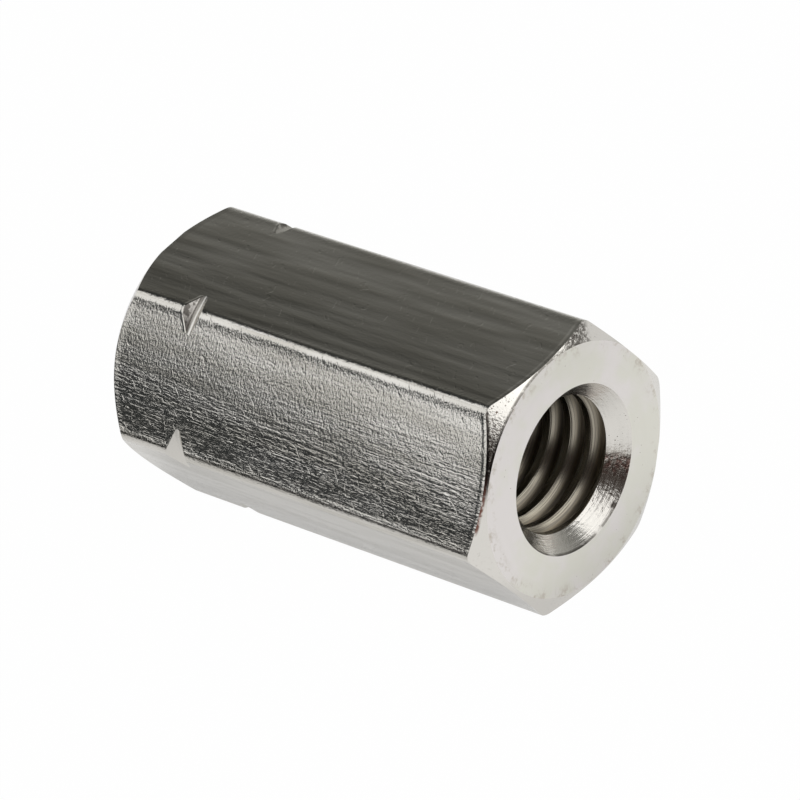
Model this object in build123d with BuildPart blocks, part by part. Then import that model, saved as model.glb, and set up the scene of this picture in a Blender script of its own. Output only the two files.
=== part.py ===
from build123d import *
import os
from math import radians, sqrt, tan

# Coupling nut for an M5 rod: one solid, turned from hexagon bar and bored right through.
# It lies on one flat with its axis along X. The origin is under its middle, on that flat.
# The thread itself is left out here: the bore is at the thread's minor diameter.

# Hexagon bar
length = 15.0
across_flats = 8.0
corner_radius = 0.38  # drawn bar has rounded corners

# The ends, the groove and the bore are turned about one axis,
# which runs a little off the middle of the bar
turning_offset = 0.085

# Plain end, at +X: a shallow chamfer round a face about as wide as the flats are apart
plain_face_diameter = 7.9
plain_chamfer_angle = 28.0  # measured from the end face

# Grooved end, at -X: a steeper chamfer that takes off the corners
grooved_face_diameter = 8.07
grooved_chamfer_angle = 45.0  # measured from the end face

# V groove round the nut near the grooved end, so shallow that it only nicks the six corners
groove_position = 2.9  # from the grooved end to the bottom of the V
groove_diameter = 8.5  # to the sharp V; the round nose stops a little short of it
groove_side_angle = 45.0  # each side, measured from square across the nut
groove_nose_radius = 0.2

# Bore and the countersink at each of its mouths
minor_diameter = 4.28
countersink_diameter = 5.3
countersink_depth = 0.58

# The turning tools run out past the bar's corners by this much
tool_runout = 0.2

end_x = length / 2
axis_height = across_flats / 2
corner_reach = across_flats / sqrt(3)  # middle of the bar to a sharp corner
runout_radius = corner_reach + turning_offset + tool_runout

# In this plane the first coordinate runs along the nut and the second is a radius
turning_plane = Plane(origin=(0, turning_offset, axis_height), x_dir=(1, 0, 0), z_dir=(0, -1, 0))
turning_axis = Axis(turning_plane.origin, (1, 0, 0))

plain_face_radius = plain_face_diameter / 2
plain_chamfer_length = (runout_radius - plain_face_radius) * tan(radians(plain_chamfer_angle))
grooved_face_radius = grooved_face_diameter / 2
grooved_chamfer_length = (runout_radius - grooved_face_radius) * tan(radians(grooved_chamfer_angle))

groove_x = groove_position - end_x
groove_radius = groove_diameter / 2
groove_half_width = (runout_radius - groove_radius) * tan(radians(groove_side_angle))

bore_radius = minor_diameter / 2
countersink_radius = countersink_diameter / 2
countersink_x = end_x - countersink_depth  # where each countersink meets the bore

with BuildPart() as coupling_nut:
    # Length of hexagon bar, with a flat on top and a flat underneath
    with BuildSketch(Plane.YZ.offset(-end_x)) as bar_section:
        with Locations((0, axis_height)):
            RegularPolygon(across_flats / 2, 6, major_radius=False)
        fillet(bar_section.vertices(), corner_radius)
    extrude(amount=length)

    # Outer outline that the lathe leaves: where its cones and its V cross the hexagon,
    # they leave the curved edges at the ends and the nicks in the corners
    with BuildSketch(turning_plane) as turned_outline:
        with BuildLine():
            Polyline(
                (-end_x, 0),
                (-end_x, grooved_face_radius),
                (-end_x + grooved_chamfer_length, runout_radius),
                (groove_x - groove_half_width, runout_radius),
                (groove_x, groove_radius),
                (groove_x + groove_half_width, runout_radius),
                (end_x - plain_chamfer_length, runout_radius),
                (end_x, plain_face_radius),
                (end_x, 0),
                close=True,
            )
        make_face()
        groove_bottom = turned_outline.vertices().sort_by_distance((groove_x, groove_radius))[0]
        fillet(groove_bottom, groove_nose_radius)
    revolve(axis=turning_axis, mode=Mode.INTERSECT)

    # Bore, right through, with its two countersinks
    with BuildSketch(turning_plane):
        with BuildLine():
            Polyline(
                (-end_x, 0),
                (-end_x, countersink_radius),
                (-countersink_x, bore_radius),
                (countersink_x, bore_radius),
                (end_x, countersink_radius),
                (end_x, 0),
                close=True,
            )
        make_face()
    revolve(axis=turning_axis, mode=Mode.SUBTRACT)

coupling_nut.part.label = "coupling_nut"

os.makedirs("parts", exist_ok=True)
export_step(coupling_nut.part, "parts/coupling_nut.step")
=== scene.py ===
from math import cos, pi, radians, sin, sqrt, tan
import bmesh
import bpy
from mathutils import Matrix, Vector


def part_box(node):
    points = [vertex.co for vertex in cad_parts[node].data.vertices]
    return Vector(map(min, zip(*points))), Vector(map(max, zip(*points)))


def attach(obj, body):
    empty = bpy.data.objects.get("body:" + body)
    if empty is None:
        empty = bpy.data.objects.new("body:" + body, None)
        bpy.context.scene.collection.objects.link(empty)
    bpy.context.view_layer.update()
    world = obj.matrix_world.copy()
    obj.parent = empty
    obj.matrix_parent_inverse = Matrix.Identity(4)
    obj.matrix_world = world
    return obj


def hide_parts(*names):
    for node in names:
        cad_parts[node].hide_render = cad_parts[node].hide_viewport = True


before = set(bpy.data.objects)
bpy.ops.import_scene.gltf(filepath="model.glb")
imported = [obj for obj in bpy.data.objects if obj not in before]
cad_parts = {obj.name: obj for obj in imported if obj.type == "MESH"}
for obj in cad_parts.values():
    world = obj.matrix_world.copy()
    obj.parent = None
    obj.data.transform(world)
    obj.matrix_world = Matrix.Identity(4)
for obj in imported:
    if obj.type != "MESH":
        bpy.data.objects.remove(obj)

scene = bpy.context.scene
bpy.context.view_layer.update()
low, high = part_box("coupling_nut")
millimetre = 0.001  # shapes are made in millimetres and scaled to metres at the end

# The nut, in millimetres and degrees. Its length and its width across flats come from its part in
# model.glb.
nut = {
    "length": (high[0] - low[0]) / millimetre,
    "acrossFlats": (high[2] - low[2]) / millimetre,
    "cornerRadius": 0.38,
    "turningOffset": 0.085,  # the turned features run off the middle of the bar, towards +Y
    "plainFaceDiameter": 7.9,
    "plainChamferAngle": 28.0,
    "groovedFaceDiameter": 8.07,
    "groovedChamferAngle": 45.0,
    "groovePosition": 2.9,
    "grooveDiameter": 8.5,
    "grooveSideAngle": 45.0,
    "grooveNoseRadius": 0.2,
    "countersinkDiameter": 5.3,
    "countersinkDepth": 0.58,
    "toolRunout": 0.2,
    "toolClearance": 1.0,  # the countersink's tool stands this far out of the nut
    "stockAllowance": 0.5,  # bar left at each end for the lathe to face off
    "cornerSteps": 14,
    "noseSteps": 18,
    "turningSteps": 180,
    "turnedMerge": 1e-4,  # points of a turned tool that lie closer than this are one
    "cutMerge": 2e-4,  # and so are the corners that the cuts leave
    "sortWay": (1.0, 0.618, 0.3141),  # uneven, so that corners seldom lie equally far along it
    "squareOn": 0.999,  # a face whose normal lies this much along the nut is an end face
    "edgeBreak": 0.04,
    "breakAngle": 20.0,  # edges sharper than this are broken
    "sharpAngle": 6.0,  # and edges softer than this are shaded as one curved surface
    "flatArea": 5.0,  # faces larger than this are shaded dead flat, in square millimetres
}

# Right-hand thread, in millimetres and degrees
thread = {
    "minorDiameter": 4.28,
    "majorDiameter": 5.02,
    "pitch": 0.8,
    "crestWidth": 0.25,
    "flankAngle": 30.0,
    "crestEdgeAt": 6.38,  # the outer edge of one crest, on the +Y side, from the middle of the nut
    "edgeRound": 0.03,
    "edgeAngle": 40.0,  # edges of the helix sharper than this are rounded
    "mouthLip": 0.03,  # plain ring between a countersink and the first turn
    "lipClearance": 0.01,  # the ring stands back from the crests by this much
    "coreInset": 0.3,  # and the core that joins the countersinks' tools lies this far inside them
    "spareTurns": 3,  # wound past the ends and cut off there
    "trimTolerance": 1e-5,
    "turnSteps": 144,
}

materialNames = ("drawnFlats", "turnedFace", "turnedChamfer", "turnedCountersink", "cutThread")
halfLength = nut["length"] / 2
axisHeight = nut["acrossFlats"] / 2
cornerReach = nut["acrossFlats"] / sqrt(3)
cornerTangent = nut["cornerRadius"] * tan(radians(30))  # from a sharp corner to the end of its flat
runoutRadius = cornerReach + nut["turningOffset"] + nut["toolRunout"]
axisPlace = Vector((0, nut["turningOffset"], axisHeight))
plainFaceRadius = nut["plainFaceDiameter"] / 2
groovedFaceRadius = nut["groovedFaceDiameter"] / 2
grooveAt = nut["groovePosition"] - halfLength
grooveRadius = nut["grooveDiameter"] / 2
mouthRadius = nut["countersinkDiameter"] / 2
boreRadius = thread["minorDiameter"] / 2


def workObject(bm, name):
    mesh = bpy.data.meshes.new(name)
    bm.to_mesh(mesh)
    bm.free()
    for materialName in materialNames:
        mesh.materials.append(bpy.data.materials[materialName])
    obj = bpy.data.objects.new(name, mesh)
    scene.collection.objects.link(obj)
    return obj


def finishFaces(faces, materialName):
    for face in faces:
        face.material_index = materialNames.index(materialName)


def hexagonBar():
    bm = bmesh.new()
    bmesh.ops.create_circle(bm, cap_ends=True, radius=cornerReach, segments=6)
    bmesh.ops.bevel(bm, geom=bm.verts[:], offset=cornerTangent, segments=nut["cornerSteps"],
                    profile=0.5, affect="VERTICES", material=-1)
    bmesh.ops.rotate(bm, verts=bm.verts, matrix=Matrix.Rotation(radians(30), 3, "Z"))
    bmesh.ops.rotate(bm, verts=bm.verts, matrix=Matrix(((0, 0, 1), (1, 0, 0), (0, 1, 0))))
    barLength = nut["length"] + 2 * nut["stockAllowance"]
    bmesh.ops.translate(bm, verts=bm.verts, vec=(-barLength / 2, 0, axisHeight))
    grown = bmesh.ops.extrude_face_region(bm, geom=bm.faces[:])
    newVerts = [item for item in grown["geom"] if isinstance(item, bmesh.types.BMVert)]
    bmesh.ops.translate(bm, verts=newVerts, vec=(barLength, 0, 0))
    bmesh.ops.recalc_face_normals(bm, faces=bm.faces)
    finishFaces(bm.faces, "drawnFlats")
    return workObject(bm, "hexagonBar")


def turnedMesh(points, steps, shift=0.0):
    # Turns a row of (along, radius) points round the X axis; a shift along it gives a screw
    bm = bmesh.new()
    verts = [bm.verts.new((along, radius, 0)) for along, radius in points]
    edges = [bm.edges.new(pair) for pair in zip(verts[:-1], verts[1:])]
    bmesh.ops.spin(bm, geom=verts + edges, cent=(0, 0, 0), axis=(1, 0, 0), angle=2 * pi,
                   dvec=(shift / steps, 0, 0), steps=steps, use_merge=shift == 0)
    bmesh.ops.remove_doubles(bm, verts=bm.verts, dist=nut["turnedMerge"])
    return bm


def noseArc(centreAlong, sharpRadius):
    # Points round the nose of the V, between its two sides
    side, nose, steps = radians(nut["grooveSideAngle"]), nut["grooveNoseRadius"], nut["noseSteps"]
    middle = sharpRadius + nose / sin(side)
    turns = [(pi / 2 - side) * (2 * step / steps - 1) for step in range(steps + 1)]
    return [(centreAlong + nose * sin(turn), middle - nose * cos(turn)) for turn in turns]


def turnedOutline():
    plainLength = (runoutRadius - plainFaceRadius) * tan(radians(nut["plainChamferAngle"]))
    groovedLength = (runoutRadius - groovedFaceRadius) * tan(radians(nut["groovedChamferAngle"]))
    grooveWidth = (runoutRadius - grooveRadius) * tan(radians(nut["grooveSideAngle"]))
    points = [(-halfLength, 0), (-halfLength, groovedFaceRadius)]
    points += [(-halfLength + groovedLength, runoutRadius), (grooveAt - grooveWidth, runoutRadius)]
    points += noseArc(grooveAt, grooveRadius) + [(grooveAt + grooveWidth, runoutRadius)]
    points += [(halfLength - plainLength, runoutRadius), (halfLength, plainFaceRadius), (halfLength, 0)]
    bm = turnedMesh(points, nut["turningSteps"])
    bmesh.ops.recalc_face_normals(bm, faces=bm.faces)
    finishFaces(bm.faces, "turnedChamfer")
    finishFaces([face for face in bm.faces if abs(face.normal.x) > nut["squareOn"]], "turnedFace")
    bmesh.ops.translate(bm, verts=bm.verts, vec=axisPlace)
    return workObject(bm, "turnedOutline")


def mouthCutter():
    # Both countersinks, each with the plain ring that leads into the thread, on a thin core
    ringRadius = boreRadius + thread["lipClearance"]
    coreRadius = boreRadius - thread["coreInset"]
    slope = (mouthRadius - ringRadius) / nut["countersinkDepth"]
    clear = nut["toolClearance"]
    ringStart = halfLength - nut["countersinkDepth"]
    ringEnd = ringStart - thread["mouthLip"]
    half = [(halfLength + clear, 0), (halfLength + clear, mouthRadius + clear * slope),
            (ringStart, ringRadius), (ringEnd, ringRadius), (ringEnd, coreRadius)]
    points = half + [(-along, radius) for along, radius in reversed(half)]
    bm = turnedMesh(points, nut["turningSteps"])
    bmesh.ops.recalc_face_normals(bm, faces=bm.faces)
    finishFaces(bm.faces, "turnedCountersink")
    finishFaces([face for face in bm.faces if abs(face.calc_center_median().x) < ringStart], "cutThread")
    bmesh.ops.translate(bm, verts=bm.verts, vec=axisPlace)
    return workObject(bm, "mouthCutter")


def tap():
    # The space that the tap leaves: one thread profile, repeated along the nut, wound by one pitch a turn
    pitch, root = thread["pitch"], thread["majorDiameter"] / 2
    flank = (root - boreRadius) * tan(radians(thread["flankAngle"]))
    end = halfLength - nut["countersinkDepth"] - thread["mouthLip"] / 2
    turns = int((halfLength + thread["crestEdgeAt"]) / pitch) + thread["spareTurns"]
    points = []
    for turn in range(-turns, thread["spareTurns"]):
        crestEdge = thread["crestEdgeAt"] + turn * pitch
        nextCrest = crestEdge + pitch - thread["crestWidth"]
        points += [(crestEdge, boreRadius), (crestEdge + flank, root), (nextCrest - flank, root),
                   (nextCrest, boreRadius)]
    bm = turnedMesh(points, thread["turnSteps"], pitch)
    helixEdges = [edge for edge in bm.edges if len(edge.link_faces) == 2
                  and edge.calc_face_angle() > radians(thread["edgeAngle"])]
    bmesh.ops.bevel(bm, geom=helixEdges, offset=thread["edgeRound"], segments=2, profile=0.5,
                    affect="EDGES", material=-1)
    for way in (-1, 1):
        bmesh.ops.bisect_plane(bm, geom=bm.verts[:] + bm.edges[:] + bm.faces[:],
                               dist=thread["trimTolerance"], plane_co=(way * end, 0, 0),
                               plane_no=(way, 0, 0), clear_outer=True)
    bmesh.ops.holes_fill(bm, edges=[edge for edge in bm.edges if edge.is_boundary], sides=0)
    bmesh.ops.recalc_face_normals(bm, faces=bm.faces)
    finishFaces(bm.faces, "cutThread")
    bmesh.ops.translate(bm, verts=bm.verts, vec=axisPlace)
    return workObject(bm, "tap")


def settleOrder(bm):
    # The cuts give their corners in another order each time, and merging goes by the order
    way = Vector(nut["sortWay"])
    bm.verts.sort(key=lambda vert: vert.co.dot(way))
    bm.edges.sort(key=lambda edge: (edge.verts[0].co + edge.verts[1].co).dot(way))
    bm.faces.sort(key=lambda face: face.calc_center_median().dot(way))


def breakEdges(bm):
    # Takes the sharpness off the edges between the flats, the turned ends and the countersinks
    threadIndex = materialNames.index("cutThread")
    sharp = []
    for edge in bm.edges:
        slots = {face.material_index for face in edge.link_faces}
        twoFinishes = len(slots) == 2 and threadIndex not in slots
        if twoFinishes and edge.calc_face_angle() > radians(nut["breakAngle"]):
            sharp.append(edge)
    bmesh.ops.bevel(bm, geom=sharp, offset=nut["edgeBreak"], segments=2, profile=0.5, affect="EDGES",
                    material=-1, clamp_overlap=True)


def shadedSmooth(edge):
    # Long faces keep their own normals: only the thread is shaded across its rounded edges
    if len(edge.link_faces) != 2 or max(face.calc_area() for face in edge.link_faces) > nut["flatArea"]:
        return False
    inThread = all(face.material_index == materialNames.index("cutThread") for face in edge.link_faces)
    return edge.calc_face_angle() < radians(nut["breakAngle"] if inThread else nut["sharpAngle"])


def cutNut():
    body = hexagonBar()
    cuts = ((turnedOutline(), "INTERSECT"), (mouthCutter(), "DIFFERENCE"), (tap(), "DIFFERENCE"))
    for tool, operation in cuts:
        cut = body.modifiers.new(tool.name, "BOOLEAN")
        cut.object, cut.operation, cut.solver = tool, operation, "EXACT"
    evaluated = body.evaluated_get(bpy.context.evaluated_depsgraph_get())
    mesh = bpy.data.meshes.new_from_object(evaluated)
    for obj in (body, *[tool for tool, operation in cuts]):
        bpy.data.objects.remove(obj)
    bm = bmesh.new()
    bm.from_mesh(mesh)
    settleOrder(bm)
    bmesh.ops.remove_doubles(bm, verts=bm.verts, dist=nut["cutMerge"])
    settleOrder(bm)
    breakEdges(bm)
    for face in bm.faces:
        face.smooth = True
    bm.normal_update()
    for edge in bm.edges:
        edge.smooth = shadedSmooth(edge)
    openEdges = sum(not edge.is_manifold for edge in bm.edges)
    print("nut mesh:", len(bm.faces), "faces,", openEdges, "open edges,",
          "cubic mm:", round(bm.calc_volume(), 2))
    bmesh.ops.scale(bm, verts=bm.verts, vec=(millimetre, millimetre, millimetre))
    bm.to_mesh(mesh)
    bm.free()
    mesh.name = "nutBody"
    piece = bpy.data.objects.new("nutBody", mesh)
    scene.collection.objects.link(piece)
    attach(piece, "root")
    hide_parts("coupling_nut")


# Node helpers: a value goes into a socket as a link or as a constant
def feed(tree, socket, value):
    if isinstance(value, bpy.types.NodeSocket):
        tree.links.new(value, socket)
    else:
        socket.default_value = value


def mathNode(tree, operation, *values):
    node = tree.nodes.new("ShaderNodeMath")
    node.operation = operation
    for socket, value in zip(node.inputs, values):
        feed(tree, socket, value)
    return node.outputs[0]


def product(tree, first, *others):
    for value in others:
        first = mathNode(tree, "MULTIPLY", first, value)
    return first


def greatest(tree, first, *others):
    for value in others:
        first = mathNode(tree, "MAXIMUM", first, value)
    return first


def oneMinus(tree, value):
    return mathNode(tree, "SUBTRACT", 1.0, value)


def distance(tree, value, middle):
    return mathNode(tree, "ABSOLUTE", mathNode(tree, "SUBTRACT", value, middle))


def joinXYZ(tree, *values):
    node = tree.nodes.new("ShaderNodeCombineXYZ")
    for socket, value in zip(node.inputs, values):
        feed(tree, socket, value)
    return node.outputs[0]


def splitXYZ(tree, vector):
    node = tree.nodes.new("ShaderNodeSeparateXYZ")
    feed(tree, node.inputs[0], vector)
    return node.outputs


def rampNode(tree, value, fromLow, fromHigh, toLow=0.0, toHigh=1.0):
    node = tree.nodes.new("ShaderNodeMapRange")
    node.interpolation_type = "SMOOTHSTEP"
    for socket, item in zip(node.inputs, (value, fromLow, fromHigh, toLow, toHigh)):
        feed(tree, socket, item)
    return node.outputs[0]


def rampFrom(tree, value, middle, fromLow, fromHigh, toLow=0.0, toHigh=1.0):
    # A ramp whose two ends are given from a middle value
    return rampNode(tree, value, middle + fromLow, middle + fromHigh, toLow, toHigh)


def turnWindow(tree, turn, start, end, soft=3.0):
    # 1 between two angles round the nut, in degrees, and 0 elsewhere
    return product(tree, rampNode(tree, turn, radians(start - soft), radians(start + soft)),
                   rampNode(tree, turn, radians(end - soft), radians(end + soft), 1.0, 0.0))


def noiseNode(tree, place, scale, detail=2.0, roughness=0.5, distortion=0.0):
    node = tree.nodes.new("ShaderNodeTexNoise")
    feed(tree, node.inputs["Vector"], place)
    for name, value in (("Scale", scale), ("Detail", detail), ("Roughness", roughness),
                        ("Distortion", distortion)):
        feed(tree, node.inputs[name], value)
    return node.outputs["Fac"]


def patchMask(tree, place, noise, ramp):
    return rampNode(tree, noiseNode(tree, place, *noise), *ramp)


def mixColours(tree, factor, first, second):
    node = tree.nodes.new("ShaderNodeMix")
    node.data_type = "RGBA"
    feed(tree, node.inputs["Factor"], factor)
    feed(tree, node.inputs["A"], first)
    feed(tree, node.inputs["B"], second)
    return node.outputs["Result"]


def newGroup(name, inputs, outputs):
    tree = bpy.data.node_groups.new(name, "ShaderNodeTree")
    for socketName, kind, value in inputs:
        socket = tree.interface.new_socket(socketName, in_out="INPUT", socket_type="NodeSocket" + kind)
        if value is not None:
            socket.default_value = value
    for socketName, kind in outputs:
        tree.interface.new_socket(socketName, in_out="OUTPUT", socket_type="NodeSocket" + kind)
    return tree, tree.nodes.new("NodeGroupInput").outputs, tree.nodes.new("NodeGroupOutput").inputs


def useGroup(tree, group, **values):
    node = tree.nodes.new("ShaderNodeGroup")
    node.node_tree = group
    for name, value in values.items():
        feed(tree, node.inputs[name], value)
    return node.outputs


# Finishes. Heights and lengths are in millimetres. The colours are the metal's own, but for painted shade
# in the thread and some dark marks.
# Turns are two angles round the nut in degrees, from +Y up, and how softly they end. A ramp is its two
# ends, and what it gives at them where that isn't 0 and 1. A noise is its scale, detail, roughness and
# distortion. Patches are a noise and the ramp that it goes through
plating = {
    "metal": (0.66, 0.64, 0.60, 1),
    "dullMetal": (0.55, 0.53, 0.485, 1),
    "rust": (0.10, 0.045, 0.025, 1),
    # dark marks: real dirt in places, painted shade and painted shadow in others
    "dirtAndShade": (0.09, 0.08, 0.07, 1),
    "ringHeight": 0.003,
    "ringNoise": (1.0, 2.0, 0.5),
    "ringWander": 1.5,  # how much the rings change round the nut
    "speckCore": 0.5,
    "speckGathering": (1.3, 2.0),
    "speckShown": (0.95, 1.1),

    # Flats, the skin of drawn bar. Ramps across a flat go from -1 at one corner to 1 at the other
    "grainScales": {"Hatch Scale": 15.5, "Streak Scale": 12.5, "Line Scale": 9.0, "Band Scale": 1.8,
                    "Patch Scale": 0.6, "Scratch Scale": 3.5},
    "grainShift": 0.3,  # keeps the six flats from looking alike
    "hatchLean": 0.35,
    "hatchSpread": 0.5,
    "hatchNoise": (2.0, 0.6, 0.3),  # without its scale, as the four below
    "streakNoise": (2.0, 0.6, 0.25),
    "lineNoise": (3.0, 0.6),
    "bandNoise": (1.5, 0.5),
    "patchNoise": (2.0, 0.5),
    "streakDrawn": 0.25,  # the smaller, the more it is drawn out along the bar
    "lineDrawn": 0.04,
    "bandDrawn": 0.12,
    "patchDrawn": 0.5,
    "scratchDrawn": 0.2,
    "scratchFold": (0.0, 0.05, 1.0, 0.0),
    "scratchPatches": ((3.0, 1.0), (0.55, 0.65)),
    "crown": 0.082,
    "topFlat": (-0.2, -0.05),  # from the top
    "hatchHeight": 0.011,
    "hatchAcross": (0.0, 1.2, 1.0, 0.42),
    "hatchOnTop": 0.25,  # what is left of it on the top flat
    "streakHeight": 0.011,
    "streakAcross": (-0.1, 0.9, 0.1, 1.1),
    "streakOnTop": 0.3,
    "lineHeight": 0.0068,
    "lineAcross": (0.0, 1.2, 0.5, 1.9),
    "lineOnTop": 0.15,
    "lineAlong": 0.04,  # the lines are stronger towards the plain end
    "bandHeight": 0.05,  # on the top flat
    "bandDull": (0.35, 0.65),
    "scratchDepth": 0.004,
    "marginRise": 0.011,  # each flat turns up a little beside its corners
    "marginWidth": 0.27,
    "marginLow": (0.0, 0.5),  # and more beside one corner, the lower one on the -Y side
    "marginLowGain": 0.7,
    "marginRagged": (0.8, 0.6),
    "endRidge": 0.009,  # at the plain end it stands in from the edge, at the grooved end it is the edge
    "endRidgeInset": 0.08,
    "endRidgeWidth": 0.12,
    "endRidgeHalf": (-1.0, 1.0),
    "endRidgeSpread": (0.0, 1.0, 0.5, 1.0),
    "burrInset": 0.05,
    "burrNarrow": 3.0,  # the groove's burr is this much narrower than the ends' ridge
    "burrStart": (0.06, 0.1, 1.0, 0.0),  # from the bottom of the groove
    "darkReflectionInset": 0.02,  # a painted line of dark reflection
    "darkReflectionWidth": 0.08,
    "darkReflectionStrength": 0.85,
    "darkReflectionUp": (-1.5, -0.5),  # height from the nut's middle
    "darkReflectionRagged": (0.3, 0.6, 0.6, 1.0),
    "flatRoughness": (0.2, 1.1, 0.16, 0.115),

    # End faces
    "faceMetal": (0.70, 0.67, 0.652, 1),
    "faceMottle": (0.665, 0.655, 0.592, 1),
    "faceStain": (0.50, 0.46, 0.40, 1),
    "faceTint": (0.6, 3.0, 0.6),
    "faceTintAcross": 0.035,
    "faceTintUp": -0.02,
    "faceTintRamp": (0.38, 0.62),
    "stainRim": (-0.5, -0.05),  # from the face's edge
    "stainPatches": ((3.0, 4.0, 0.7), (0.5, 0.7)),
    "faceSpecks": {"Number": 5.0, "Size": 0.18, "Cover": 0.45},
    "faceRings": 9.0,
    "faceRingHeight": 0.0015,
    "faceRoughness": (0.3, 0.7, 0.28, 0.34),

    # Chamfers and the groove
    "atEnd": (-1.2, -0.9),  # from the end
    "tornTurns": (62, 152),
    "tornElsewhere": 0.15,
    "tornPhase": -60.0,
    "tornNoise": (1.2, 1.0),
    "tornRamp": (0.1, 1.3, 0.1, 1.0),
    "pitNoise": (11.0, 2.0, 0.6),
    "pitHeight": 0.009,
    "chamferSpecks": {"Number": 13.0, "Size": 0.45, "Cover": 0.72},
    "speckHeight": 0.012,
    "rimTurns": (66, 145),  # darker beside the end face
    "rimDarkening": 0.85,
    "rimReach": (0.04, 0.1, 1.0, 0.0),  # from the face's edge
    "rimPatches": ((4.0, 3.0, 0.7), (0.33, 0.5, 0.45, 1.0)),
    "gougeTurns": (61, 76, 2.0),
    "gougePatches": ((9.0, 3.0, 0.7), (0.4, 0.55, 0.0, 0.85)),
    # painted shade on the groove's walls, high on the nut
    "grooveReach": (-0.2, -0.1, 1.0, 0.0),  # from the middle of the groove
    "grooveUp": (1.0, 2.5),  # height from the nut's middle
    "groovePatches": ((5.0, 2.0), (0.4, 0.55, 0.8, 0.2)),
    "burrShadowTurns": (121, 145, 1.0),  # a painted shadow of the burr, a dark line where a flat runs out
    "burrShadowReach": (0.045, 0.11, 1.0, 0.0),  # under the flat
    "edgeRust": (0.17, 0.085, 0.065, 1),
    "edgeRustTurns": (143, 170, 2.0),
    "edgeRustReach": (0.05, 0.12, 1.0, 0.0),  # under the flat
    "edgeRustPatches": ((6.0, 2.0), (0.35, 0.55, 0.3, 1.0)),
    "chamferRings": 18.0,
    "chamferRoughness": (0.0, 1.0, 0.26, 0.16),  # from the groove to the ends

    # Countersinks
    "mouthRust": (0.42, 0.30, 0.27, 1),
    "mouthSpecks": {"Number": 9.0, "Size": 0.3, "Cover": 0.45},
    "chatterTurns": (-44, -29, 4.0),
    "chatterNoise": (8.0, 2.0, 0.6),
    "chatterBrown": (0.4, 0.6),
    "chatterHeight": (0.0, 1.0, 2.8, 6.5),  # times a ring's height, outside the chatter and in it
    "mouthLineTurns": (-165, -55, 10.0),
    "mouthLineReach": (-0.08, -0.03, 0.0, 0.75),  # from the mouth's edge
    "mouthLinePatches": ((1.5, 3.0, 0.6), (0.36, 0.5, 0.25, 1.0)),
    "nickTurns": (-65, -60, 1.5),
    "nickReach": (-0.12, -0.08),  # from the mouth's edge
    "mouthRings": 24.0,
    "mouthRingHeight": 0.0075,
    "mouthRoughness": (0.3, 0.7, 0.18, 0.26),

    # Thread. Ramps over its depth go outwards from the crests. Its metal is painted darker as shade inside
    # the bore, darker still at the roots
    "threadShadedMetal": (0.35, 0.325, 0.27, 1),
    "threadWorn": (0.19, 0.17, 0.14, 1),
    "threadRootShade": (0.25, 0.215, 0.16, 1),
    "threadLines": 28.0,
    "threadLineNoise": (1.0, 2.0, 0.6),
    "threadLineHeight": 0.02,
    "threadLineDark": (0.4, 0.56, 1.0, 0.0),
    "threadLineCrest": (0.005, 0.05, 1.0, 0.05),
    "threadDepth": (0.02, 0.28),
    "threadRoughness": (0.0, 1.0, 0.24, 0.32),
}


def nutPlaceGroup():
    # A point's place on the nut, in millimetres: along it, across its flat, out from the turning axis
    tree, given, result = newGroup("nutPlace", [("Place", "Vector", None)],
                                   [("Along", "Float"), ("Across", "Float"), ("Radius", "Float"),
                                    ("Turn", "Float"), ("From Edge", "Float"), ("Under Flat", "Float"),
                                    ("Millimetres", "Vector")])
    scaled = tree.nodes.new("ShaderNodeMapping")
    scaled.inputs["Scale"].default_value = (1 / millimetre,) * 3
    scaled.inputs["Location"].default_value = (0, 0, -axisHeight)
    tree.links.new(given["Place"], scaled.inputs["Vector"])
    x, y, z = splitXYZ(tree, scaled.outputs[0])
    flatNumber = mathNode(tree, "FLOOR", mathNode(tree, "DIVIDE", mathNode(tree, "ARCTAN2", z, y), pi / 3))
    facing = product(tree, mathNode(tree, "ADD", flatNumber, 0.5), pi / 3)
    facingSin, facingCos = mathNode(tree, "SINE", facing), mathNode(tree, "COSINE", facing)
    across = mathNode(tree, "SUBTRACT", product(tree, z, facingCos), product(tree, y, facingSin))
    out = mathNode(tree, "MULTIPLY_ADD", z, facingSin, product(tree, y, facingCos))
    turnedY = mathNode(tree, "SUBTRACT", y, nut["turningOffset"])
    square = mathNode(tree, "MULTIPLY_ADD", turnedY, turnedY, product(tree, z, z))
    radius = mathNode(tree, "SQRT", square)
    fromEdges = []
    for way, faceRadius, angle in ((-1, plainFaceRadius, nut["plainChamferAngle"]),
                                   (1, groovedFaceRadius, nut["groovedChamferAngle"])):
        slope = tan(radians(angle))
        runOut = mathNode(tree, "MULTIPLY_ADD", radius, -slope, halfLength + faceRadius * slope)
        fromEdges.append(mathNode(tree, "MULTIPLY_ADD", x, way, runOut))
    # Along the groove's -X wall a thin burr stands in from the edge, as far as the groove cuts
    wallSlope = tan(radians(nut["grooveSideAngle"]))
    wall = mathNode(tree, "MULTIPLY_ADD", radius, -wallSlope, grooveAt + grooveRadius * wallSlope)
    fromBurr = distance(tree, distance(tree, wall, x), plating["burrInset"])
    noGroove = rampFrom(tree, radius, grooveRadius, *plating["burrStart"])
    fromBurr = mathNode(tree, "MULTIPLY_ADD", fromBurr, plating["burrNarrow"], noGroove)
    fromEdge = mathNode(tree, "MINIMUM", mathNode(tree, "MINIMUM", *fromEdges), fromBurr)
    tree.links.new(x, result["Along"])
    tree.links.new(across, result["Across"])
    tree.links.new(radius, result["Radius"])
    tree.links.new(mathNode(tree, "SUBTRACT", axisHeight, out), result["Under Flat"])
    tree.links.new(fromEdge, result["From Edge"])
    tree.links.new(mathNode(tree, "ARCTAN2", z, turnedY), result["Turn"])
    tree.links.new(scaled.outputs[0], result["Millimetres"])
    return tree


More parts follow.
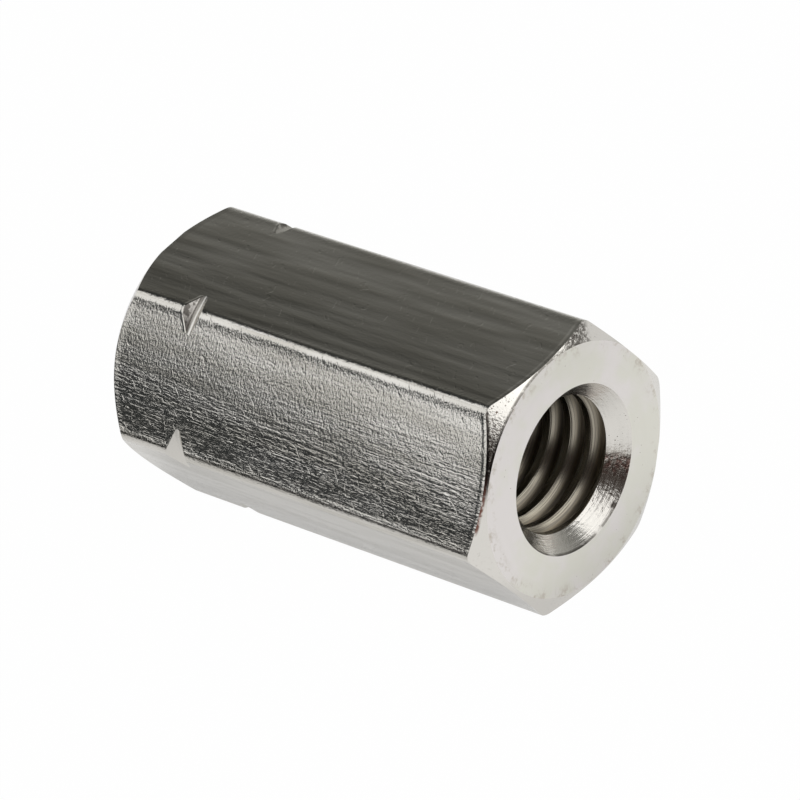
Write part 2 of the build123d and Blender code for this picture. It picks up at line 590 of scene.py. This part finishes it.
def drawnGrainGroup():
    # The skin of drawn and plated bar: a fine hatch across it, short streaks, long lines and broad bands
    # along it, uneven patches, and a few slanting scratches
    layers = ("Hatch", "Streak", "Line", "Band", "Patch", "Scratch")
    tree, given, result = newGroup("drawnGrain", [("Millimetres", "Vector", None), ("Across", "Float", 0.0),
                                                  ("Slant", "Float", radians(60))]
                                   + [(layer + " Scale", "Float", 1.0) for layer in layers],
                                   [(layer, "Float") for layer in layers])
    x, _, z = splitXYZ(tree, given["Millimetres"])
    across = given["Across"]
    deeper = product(tree, z, plating["grainShift"])
    leaning = mathNode(tree, "MULTIPLY_ADD", across, plating["hatchLean"], x)
    hatched = joinXYZ(tree, leaning, product(tree, across, plating["hatchSpread"]), deeper)
    tree.links.new(noiseNode(tree, hatched, given["Hatch Scale"], *plating["hatchNoise"]), result["Hatch"])
    for layer in ("streak", "line", "band", "patch"):
        drawn = joinXYZ(tree, product(tree, x, plating[layer + "Drawn"]), across, deeper)
        noise = noiseNode(tree, drawn, given[layer.capitalize() + " Scale"], *plating[layer + "Noise"])
        tree.links.new(noise, result[layer.capitalize()])
    # A scratch is where a smooth noise that is drawn out along the slant passes its middle value
    slantCos, slantSin = mathNode(tree, "COSINE", given["Slant"]), mathNode(tree, "SINE", given["Slant"])
    longWay = mathNode(tree, "MULTIPLY_ADD", x, slantCos, product(tree, across, slantSin))
    shortWay = mathNode(tree, "SUBTRACT", product(tree, across, slantCos), product(tree, x, slantSin))
    slanted = joinXYZ(tree, product(tree, longWay, plating["scratchDrawn"]), shortWay, deeper)
    fold = distance(tree, noiseNode(tree, slanted, given["Scratch Scale"], detail=0.0), 0.5)
    sparse = patchMask(tree, given["Millimetres"], *plating["scratchPatches"])
    tree.links.new(product(tree, rampNode(tree, fold, *plating["scratchFold"]), sparse), result["Scratch"])
    return tree


def turningMarksGroup():
    # Fine rings that a turning tool leaves, strong in some places and faint in others
    tree, given, result = newGroup("turningMarks", [("Radius", "Float", 0.0), ("Turn", "Float", 0.0),
                                                    ("Rings", "Float", 20.0)], [("Ring Height", "Float")])
    wrapped = joinXYZ(tree, product(tree, given["Radius"], given["Rings"]),
                      product(tree, mathNode(tree, "SINE", given["Turn"]), plating["ringWander"]),
                      product(tree, mathNode(tree, "COSINE", given["Turn"]), plating["ringWander"]))
    tree.links.new(noiseNode(tree, wrapped, *plating["ringNoise"]), result["Ring Height"])
    return tree


def speckGroup():
    # Small separate spots, gathered in loose patches
    tree, given, result = newGroup("specks", [("Millimetres", "Vector", None), ("Number", "Float", 6.0),
                                              ("Size", "Float", 0.2), ("Cover", "Float", 0.5)],
                                   [("Speck", "Float")])
    cells = tree.nodes.new("ShaderNodeTexVoronoi")
    tree.links.new(given["Millimetres"], cells.inputs["Vector"])
    tree.links.new(given["Number"], cells.inputs["Scale"])
    chance = splitXYZ(tree, cells.outputs["Color"])[0]
    size = product(tree, given["Size"], chance)
    core = product(tree, size, plating["speckCore"])
    spot = rampNode(tree, cells.outputs["Distance"], core, size, 1.0, 0.0)
    shownEnds = [mathNode(tree, "SUBTRACT", end, given["Cover"]) for end in plating["speckShown"]]
    shown = patchMask(tree, given["Millimetres"], plating["speckGathering"], shownEnds)
    tree.links.new(product(tree, spot, shown), result["Speck"])
    return tree


nutPlace, drawnGrain = nutPlaceGroup(), drawnGrainGroup()
turningMarks, specks = turningMarksGroup(), speckGroup()


def newFinish(name):
    mat = bpy.data.materials.new(name)
    mat.use_nodes = True
    tree = mat.node_tree
    shader = tree.nodes["Principled BSDF"]
    shader.inputs["Metallic"].default_value = 1
    place = tree.nodes.new("ShaderNodeTexCoord").outputs["Object"]
    return tree, shader, useGroup(tree, nutPlace, Place=place)


def toolRings(tree, place, number):
    return useGroup(tree, turningMarks, Radius=place["Radius"], Turn=place["Turn"],
                    Rings=number)["Ring Height"]


def speckMask(tree, place, values):
    return useGroup(tree, specks, Millimetres=place["Millimetres"], **values)["Speck"]


def bumpFrom(tree, shader, height):
    # Heights are in millimetres
    bump = tree.nodes.new("ShaderNodeBump")
    bump.inputs["Distance"].default_value = millimetre
    tree.links.new(height, bump.inputs["Height"])
    tree.links.new(bump.outputs["Normal"], shader.inputs["Normal"])


def drawnFlats():
    tree, shader, place = newFinish("drawnFlats")
    grain = useGroup(tree, drawnGrain, Millimetres=place["Millimetres"], Across=place["Across"],
                     **plating["grainScales"])
    up = splitXYZ(tree, place["Millimetres"])[2]
    onTop = rampFrom(tree, up, axisHeight, *plating["topFlat"])
    onSides = oneMinus(tree, onTop)
    flatEnd = cornerReach / 2 - cornerTangent
    acrossShare = mathNode(tree, "DIVIDE", place["Across"], flatEnd)
    unevenShare = mathNode(tree, "ADD", acrossShare, grain["Patch"])
    lineShare = mathNode(tree, "MULTIPLY_ADD", place["Along"], plating["lineAlong"], unevenShare)
    onFlat = mathNode(tree, "MINIMUM", mathNode(tree, "ABSOLUTE", place["Across"]), flatEnd)
    height = product(tree, onFlat, onFlat, -plating["crown"] / flatEnd ** 2)
    for layer, share in (("hatch", unevenShare), ("streak", unevenShare), ("line", lineShare)):
        raised = product(tree, grain[layer.capitalize()], rampNode(tree, share, *plating[layer + "Across"]),
                         mathNode(tree, "MULTIPLY_ADD", onTop, plating[layer + "OnTop"] - 1, 1.0))
        height = mathNode(tree, "MULTIPLY_ADD", raised, plating[layer + "Height"], height)
    height = mathNode(tree, "MULTIPLY_ADD", grain["Scratch"], -plating["scratchDepth"], height)
    banded = product(tree, grain["Band"], onTop)
    height = mathNode(tree, "MULTIPLY_ADD", banded, plating["bandHeight"], height)
    inMargin = mathNode(tree, "SUBTRACT", onFlat, flatEnd - plating["marginWidth"])
    inMargin = mathNode(tree, "DIVIDE", mathNode(tree, "MAXIMUM", inMargin, 0.0), plating["marginWidth"])
    lowSide = product(tree, rampNode(tree, acrossShare, *plating["marginLow"]), onSides)
    margin = product(tree, inMargin, inMargin, plating["marginRise"],
                     mathNode(tree, "MULTIPLY_ADD", lowSide, plating["marginLowGain"], 1.0),
                     mathNode(tree, "MULTIPLY_ADD", grain["Hatch"], *plating["marginRagged"]))
    height = mathNode(tree, "ADD", margin, height)
    plainEnd = rampNode(tree, place["Along"], *plating["endRidgeHalf"])
    fromRidge = distance(tree, place["From Edge"], product(tree, plainEnd, plating["endRidgeInset"]))
    fromRidge = product(tree, fromRidge, rampNode(tree, plainEnd, *plating["endRidgeSpread"]))
    ridge = rampNode(tree, fromRidge, 0.0, plating["endRidgeWidth"], plating["endRidge"], 0.0)
    bumpFrom(tree, shader, mathNode(tree, "ADD", ridge, height))
    colour = mixColours(tree, rampNode(tree, grain["Band"], *plating["bandDull"]), plating["metal"],
                        plating["dullMetal"])
    # A painted line of dark reflection where one edge of each side flat, on the -Y side the lower one,
    # turns into its corner
    fromDarkReflection = distance(tree, place["Across"], flatEnd + plating["darkReflectionInset"])
    darkReflection = product(tree, rampNode(tree, fromDarkReflection, 0.0, plating["darkReflectionWidth"], plating["darkReflectionStrength"], 0.0),
                   rampNode(tree, up, *plating["darkReflectionUp"]),
                   rampNode(tree, grain["Hatch"], *plating["darkReflectionRagged"]), onSides)
    tree.links.new(mixColours(tree, darkReflection, colour, plating["dirtAndShade"]), shader.inputs["Base Color"])
    tree.links.new(rampNode(tree, unevenShare, *plating["flatRoughness"]), shader.inputs["Roughness"])


def turnedFace():
    tree, shader, place = newFinish("turnedFace")
    _, y, z = splitXYZ(tree, place["Millimetres"])
    # Mottled at random, and darker towards +Y and towards the bottom
    tint = noiseNode(tree, place["Millimetres"], *plating["faceTint"])
    tint = mathNode(tree, "MULTIPLY_ADD", y, plating["faceTintAcross"], tint)
    tint = mathNode(tree, "MULTIPLY_ADD", z, plating["faceTintUp"], tint)
    colour = mixColours(tree, rampNode(tree, tint, *plating["faceTintRamp"]), plating["faceMetal"],
                        plating["faceMottle"])
    stain = product(tree, rampFrom(tree, place["Radius"], plainFaceRadius, *plating["stainRim"]),
                    patchMask(tree, place["Millimetres"], *plating["stainPatches"]))
    colour = mixColours(tree, stain, colour, plating["faceStain"])
    colour = mixColours(tree, speckMask(tree, place, plating["faceSpecks"]), colour, plating["rust"])
    tree.links.new(colour, shader.inputs["Base Color"])
    rings = toolRings(tree, place, plating["faceRings"])
    tree.links.new(rampNode(tree, rings, *plating["faceRoughness"]), shader.inputs["Roughness"])
    bumpFrom(tree, shader, product(tree, rings, plating["faceRingHeight"]))


def turnedChamfer():
    # Torn and speckled at the bar's corners, where the lathe cut in jumps, and smooth between them
    tree, shader, place = newFinish("turnedChamfer")
    spot, turn = place["Millimetres"], place["Turn"]
    atEnd = rampFrom(tree, mathNode(tree, "ABSOLUTE", place["Along"]), halfLength, *plating["atEnd"])
    cornerPhase = mathNode(tree, "MULTIPLY_ADD", turn, 6.0, radians(plating["tornPhase"]))
    unevenCorner = mathNode(tree, "ADD", mathNode(tree, "COSINE", cornerPhase),
                            noiseNode(tree, spot, *plating["tornNoise"]))
    tornSide = mathNode(tree, "MAXIMUM", turnWindow(tree, turn, *plating["tornTurns"]),
                        plating["tornElsewhere"])
    torn = product(tree, rampNode(tree, unevenCorner, *plating["tornRamp"]), atEnd, tornSide)
    specked = product(tree, speckMask(tree, place, plating["chamferSpecks"]), torn)
    colour = mixColours(tree, specked, plating["metal"], plating["rust"])
    rusty = product(tree, turnWindow(tree, turn, *plating["edgeRustTurns"]),
                    patchMask(tree, spot, *plating["edgeRustPatches"]),
                    rampNode(tree, place["Under Flat"], *plating["edgeRustReach"]), atEnd)
    colour = mixColours(tree, rusty, colour, plating["edgeRust"])
    rimSide = product(tree, turnWindow(tree, turn, *plating["rimTurns"]), plating["rimDarkening"])
    onRim = product(tree, rampFrom(tree, place["Radius"], plainFaceRadius, *plating["rimReach"]),
                    patchMask(tree, spot, *plating["rimPatches"]), rimSide)
    gouged = product(tree, turnWindow(tree, turn, *plating["gougeTurns"]),
                     patchMask(tree, spot, *plating["gougePatches"]), atEnd)
    # Painted shade on the groove's walls, in the upper part of the nut
    grooveShade = product(tree, rampFrom(tree, place["Along"], grooveAt, *plating["grooveReach"]),
                       patchMask(tree, spot, *plating["groovePatches"]),
                       rampNode(tree, splitXYZ(tree, spot)[2], *plating["grooveUp"]), oneMinus(tree, atEnd))
    # Painted shadow of the burr: a dark line on the chamfer where a flat runs out
    burrShadow = product(tree, rampNode(tree, place["Under Flat"], *plating["burrShadowReach"]), atEnd,
                  turnWindow(tree, turn, *plating["burrShadowTurns"]))
    # Real dirt in the gouges, a darker line by the end face, painted shade in the groove and the burr's
    # painted shadow
    darkened = greatest(tree, onRim, gouged, grooveShade, burrShadow)
    tree.links.new(mixColours(tree, darkened, colour, plating["dirtAndShade"]), shader.inputs["Base Color"])
    rings = toolRings(tree, place, plating["chamferRings"])
    pitted = product(tree, noiseNode(tree, spot, *plating["pitNoise"]), torn)
    height = product(tree, rings, plating["ringHeight"])
    height = mathNode(tree, "MULTIPLY_ADD", pitted, plating["pitHeight"], height)
    height = mathNode(tree, "MULTIPLY_ADD", specked, plating["speckHeight"], height)
    bumpFrom(tree, shader, height)
    tree.links.new(rampNode(tree, atEnd, *plating["chamferRoughness"]), shader.inputs["Roughness"])


def turnedCountersink():
    tree, shader, place = newFinish("turnedCountersink")
    spot, turn = place["Millimetres"], place["Turn"]
    # The tool chattered over a short stretch of it and left that rougher and browner
    chatter = turnWindow(tree, turn, *plating["chatterTurns"])
    ragged = noiseNode(tree, spot, *plating["chatterNoise"])
    brown = product(tree, chatter, rampNode(tree, ragged, *plating["chatterBrown"]))
    colour = mixColours(tree, brown, plating["metal"], plating["mouthRust"])
    mouthLine = product(tree, rampFrom(tree, place["Radius"], mouthRadius, *plating["mouthLineReach"]),
                        patchMask(tree, spot, *plating["mouthLinePatches"]),
                        turnWindow(tree, turn, *plating["mouthLineTurns"]))
    nick = product(tree, turnWindow(tree, turn, *plating["nickTurns"]),
                   rampFrom(tree, place["Radius"], mouthRadius, *plating["nickReach"]))
    darkened = greatest(tree, mouthLine, nick, speckMask(tree, place, plating["mouthSpecks"]))
    tree.links.new(mixColours(tree, darkened, colour, plating["dirtAndShade"]), shader.inputs["Base Color"])
    rings = toolRings(tree, place, plating["mouthRings"])
    height = product(tree, rings, plating["mouthRingHeight"])
    raggedHeight = product(tree, rampNode(tree, chatter, *plating["chatterHeight"]), plating["ringHeight"])
    bumpFrom(tree, shader, mathNode(tree, "MULTIPLY_ADD", ragged, raggedHeight, height))
    tree.links.new(rampNode(tree, rings, *plating["mouthRoughness"]), shader.inputs["Roughness"])


def cutThread():
    # Scratches follow the helix: its phase is the same all the way round one scratch
    tree, shader, place = newFinish("cutThread")
    phase = mathNode(tree, "MULTIPLY_ADD", place["Turn"], -thread["pitch"] / (2 * pi), place["Along"])
    wrapped = joinXYZ(tree, product(tree, place["Radius"], plating["threadLines"]),
                      product(tree, phase, plating["threadLines"]),
                      product(tree, mathNode(tree, "COSINE", place["Turn"]), plating["ringWander"]))
    scratches = noiseNode(tree, wrapped, *plating["threadLineNoise"])
    onCrest = rampFrom(tree, place["Radius"], boreRadius, *plating["threadLineCrest"])
    bumpFrom(tree, shader, product(tree, scratches, onCrest, plating["threadLineHeight"]))
    # Painted shade: the thread's metal is darker than the rest, and darker still towards the roots
    depth = rampFrom(tree, place["Radius"], boreRadius, *plating["threadDepth"])
    colour = mixColours(tree, depth, plating["threadShadedMetal"], plating["threadRootShade"])
    colour = mixColours(tree, rampNode(tree, scratches, *plating["threadLineDark"]), colour,
                        plating["threadWorn"])
    tree.links.new(colour, shader.inputs["Base Color"])
    tree.links.new(rampNode(tree, depth, *plating["threadRoughness"]), shader.inputs["Roughness"])


for makeFinish in (drawnFlats, turnedFace, turnedChamfer, turnedCountersink, cutThread):
    makeFinish()
print("finishes made:", ", ".join(materialNames))
cutNut()
print("nut made")

# Studio: a white floor, a dim room, and two softboxes, in metres. Angles are from +X round to +Y, and up
studio = {
    "floorSize": 3.0,
    "floorColour": (0.9, 0.9, 0.9, 1),
    "floorGlow": 0.99,
    "tableBack": (0.73, 0.72, 0.70, 1),  # what the metal shows of the floor beyond the white card
    "tableBackEdge": (0.0, 0.02),
    "tableBackDim": (-0.04, -0.01, 0.55, 1.0),
    "tableLeft": (0.105, 0.109, 0.114, 1),
    "tableLeftEdge": (-0.02, 0.01),
    "tableRight": (0.03, 0.02, 0.017, 1),
    "cardAzimuth": -65.0,  # the card is a strip that runs off this way
    "cardFrontEdge": (-0.032, -0.006),
    "cardLight": 0.8,  # beside the nut; it is full white past the plain end
    "cardEnd": (0.005, 0.008),
    "cardRightEdge": (0.018, 0.028),
    "cardBackEdge": (0.012, 0.03),
    "mouthCardAzimuth": -36.0,  # past the plain end the card spreads this far round
    "mouthCardStart": (0.009, 0.014),
    "mouthCardEdge": (0.0057, 0.0097),
    "contactShade": 0.72,  # white left under the nut's overhanging flats
    "contactInset": 0.0035,
    "contactReach": 0.0025,
    "roomLeft": (0.041, 0.045, 0.047, 1),
    "roomRight": (0.055, 0.043, 0.037, 1),
    "roomBack": (0.05, 0.05, 0.046, 1),
    "roomAbove": (0.15, 0.15, 0.14, 1),
    "roomTop": (0.6, 0.59, 0.57, 1),  # high in front of the nut
    "roomGlow": (0.5, 0.47, 0.44, 1),  # low beyond the plain end's card
    "backdrop": (0.42, 0.42, 0.40, 1),
}
# The parts of the room, each painted over those before it, as far as its ramps along x, y and z allow
roomParts = {
    "roomRight": {"x": (-0.3, 0.4)},
    "roomBack": {"y": (0.0, 0.3)},
    "roomAbove": {"y": (0.22, 0.6)},
    "roomTop": {"z": (0.82, 0.86), "y": (-0.25, -0.15, 1.0, 0.0)},
    "roomGlow": {"y": (-0.62, -0.45, 1.0, 0.0), "x": (0.4, 0.52), "z": (0.06, 0.2, 1.0, 0.0)},
    "backdrop": {"z": (0.2, 0.6, 1.0, 0.0), "y": (0.1, 0.4), "x": (-0.5, -0.2, 0.6, 1.0)},
}
softboxes = {
    "leftBox": {"azimuth": 224.5, "elevation": 36.4, "distance": 0.2, "width": 0.244, "height": 0.143,
                "roll": -21.8, "brightness": 1.12},
    "rightBox": {"azimuth": 20, "elevation": 28.5, "distance": 0.3, "width": 0.28, "height": 0.336,
                 "roll": 22, "brightness": 1.42},
}


def leftOf(tree, x, y, azimuth):
    # How far a point lies to the left of a line that runs off this way from under the nut
    way = radians(azimuth)
    return mathNode(tree, "MULTIPLY_ADD", x, -sin(way), product(tree, y, cos(way)))


def layFloor():
    mesh = bpy.data.meshes.new("floor")
    bm = bmesh.new()
    bmesh.ops.create_grid(bm, x_segments=1, y_segments=1, size=studio["floorSize"])
    bm.to_mesh(mesh)
    bm.free()
    floor = bpy.data.objects.new("floor", mesh)
    scene.collection.objects.link(floor)
    mat = bpy.data.materials.new("floorWhite")
    mat.use_nodes = True
    mat.cycles.emission_sampling = "NONE"
    tree = mat.node_tree
    tree.nodes.clear()
    path = tree.nodes.new("ShaderNodeLightPath").outputs
    x, y, _ = splitXYZ(tree, tree.nodes.new("ShaderNodeTexCoord").outputs["Object"])
    # The white card that the metal mirrors
    pastMouth = rampNode(tree, x, *studio["mouthCardStart"])
    fromCard = leftOf(tree, x, y, studio["cardAzimuth"])
    fromMouthCard = leftOf(tree, x, y, studio["mouthCardAzimuth"])
    mouthCard = product(tree, rampNode(tree, fromMouthCard, *studio["mouthCardEdge"], 1.0, 0.0), pastMouth)
    card = greatest(tree, rampNode(tree, fromCard, *studio["cardRightEdge"], 1.0, 0.0), mouthCard,
                    rampNode(tree, y, *studio["cardBackEdge"], 0.0, studio["cardLight"]))
    front = mathNode(tree, "MAXIMUM", rampNode(tree, y, *studio["cardFrontEdge"]), pastMouth)
    besideNut = mathNode(tree, "SUBTRACT", mathNode(tree, "ABSOLUTE", y), studio["contactInset"])
    pastEnd = mathNode(tree, "SUBTRACT", mathNode(tree, "ABSOLUTE", x), halfLength * millimetre)
    shade = rampNode(tree, mathNode(tree, "MAXIMUM", besideNut, pastEnd), 0.0, studio["contactReach"],
                     studio["contactShade"], 1.0)
    brightness = rampNode(tree, x, *studio["cardEnd"], studio["cardLight"], 1.0)
    card = product(tree, card, front, brightness, shade)
    cardSeen = product(tree, card, path["Is Glossy Ray"])
    beyond = mathNode(tree, "SUBTRACT", path["Is Glossy Ray"], cardSeen)
    table = mixColours(tree, rampNode(tree, fromCard, *studio["tableLeftEdge"]), studio["tableLeft"],
                       studio["tableRight"])
    back = product(tree, rampNode(tree, y, *studio["tableBackEdge"]),
                   rampNode(tree, x, *studio["tableBackDim"]))
    table = mixColours(tree, back, table, studio["tableBack"])
    diffuse = tree.nodes.new("ShaderNodeBsdfDiffuse")
    feed(tree, diffuse.inputs["Color"], mixColours(tree, beyond, studio["floorColour"], table))
    white = tree.nodes.new("ShaderNodeEmission").outputs[0]
    seen = mathNode(tree, "MAXIMUM", path["Is Camera Ray"], cardSeen)
    glow = product(tree, seen, studio["floorGlow"])
    mix = tree.nodes.new("ShaderNodeMixShader")
    for socket, value in zip(mix.inputs, (glow, diffuse.outputs[0], white)):
        feed(tree, socket, value)
    feed(tree, tree.nodes.new("ShaderNodeOutputMaterial").inputs["Surface"], mix.outputs[0])
    mesh.materials.append(mat)


def paintRoom():
    world = bpy.data.worlds.new("room")
    scene.world = world
    world.use_nodes = True
    tree = world.node_tree
    tree.nodes.clear()
    way = dict(zip("xyz", splitXYZ(tree, tree.nodes.new("ShaderNodeTexCoord").outputs["Generated"])))
    room = studio["roomLeft"]
    for part, ramps in roomParts.items():
        cover = product(tree, *[rampNode(tree, way[axis], *ramp) for axis, ramp in ramps.items()])
        room = mixColours(tree, cover, room, studio[part])
    dim = tree.nodes.new("ShaderNodeBackground")
    feed(tree, dim.inputs["Color"], room)
    white = tree.nodes.new("ShaderNodeBackground")
    white.inputs["Color"].default_value = (1, 1, 1, 1)
    isCamera = tree.nodes.new("ShaderNodeLightPath").outputs["Is Camera Ray"]
    mix = tree.nodes.new("ShaderNodeMixShader")
    for socket, value in zip(mix.inputs, (isCamera, dim.outputs[0], white.outputs[0])):
        feed(tree, socket, value)
    feed(tree, tree.nodes.new("ShaderNodeOutputWorld").inputs["Surface"], mix.outputs[0])


def hangSoftbox(name, box):
    # An area lamp that faces the nut; its brightness is what a mirror would show of it
    lamp = bpy.data.lights.new(name, "AREA")
    lamp.shape, lamp.size, lamp.size_y = "RECTANGLE", box["width"], box["height"]
    lamp.energy = box["brightness"] * pi * box["width"] * box["height"]
    azimuth, elevation = radians(box["azimuth"]), radians(box["elevation"])
    way = Vector((cos(azimuth) * cos(elevation), sin(azimuth) * cos(elevation), sin(elevation)))
    obj = bpy.data.objects.new(name, lamp)
    turn = way.to_track_quat("Z", "Y").to_matrix() @ Matrix.Rotation(radians(box["roll"]), 3, "Z")
    middle = Vector((0, 0, axisHeight * millimetre))
    obj.matrix_world = Matrix.Translation(middle + way * box["distance"]) @ turn.to_4x4()
    obj.visible_camera = False
    scene.collection.objects.link(obj)


layFloor()
paintRoom()
for boxName, box in softboxes.items():
    hangSoftbox(boxName, box)
print("studio lit")

# Camera: places in millimetres from the nut's middle; roll in degrees
view = {
    "place": (110.6, -93.1, 106.4),
    "aim": (0.33, 0.44, 0.05),
    "roll": -16.2,
    "lens": 267.06,
    "sensor": 36.0,
    "nearest": 0.01,  # in metres
}


def setCamera():
    data = bpy.data.cameras.new("camera")
    data.lens, data.sensor_width, data.clip_start = view["lens"], view["sensor"], view["nearest"]
    camera = bpy.data.objects.new("camera", data)
    place, aim = Vector(view["place"]), Vector(view["aim"])
    roll = Matrix.Rotation(radians(view["roll"]), 3, "Z")
    turn = (aim - place).to_track_quat("-Z", "Y").to_matrix() @ roll
    place.z += axisHeight
    camera.matrix_world = Matrix.Translation(place * millimetre) @ turn.to_4x4()
    scene.collection.objects.link(camera)
    scene.camera = camera


setCamera()
print("camera set")
scene.view_settings.view_transform = "Standard"
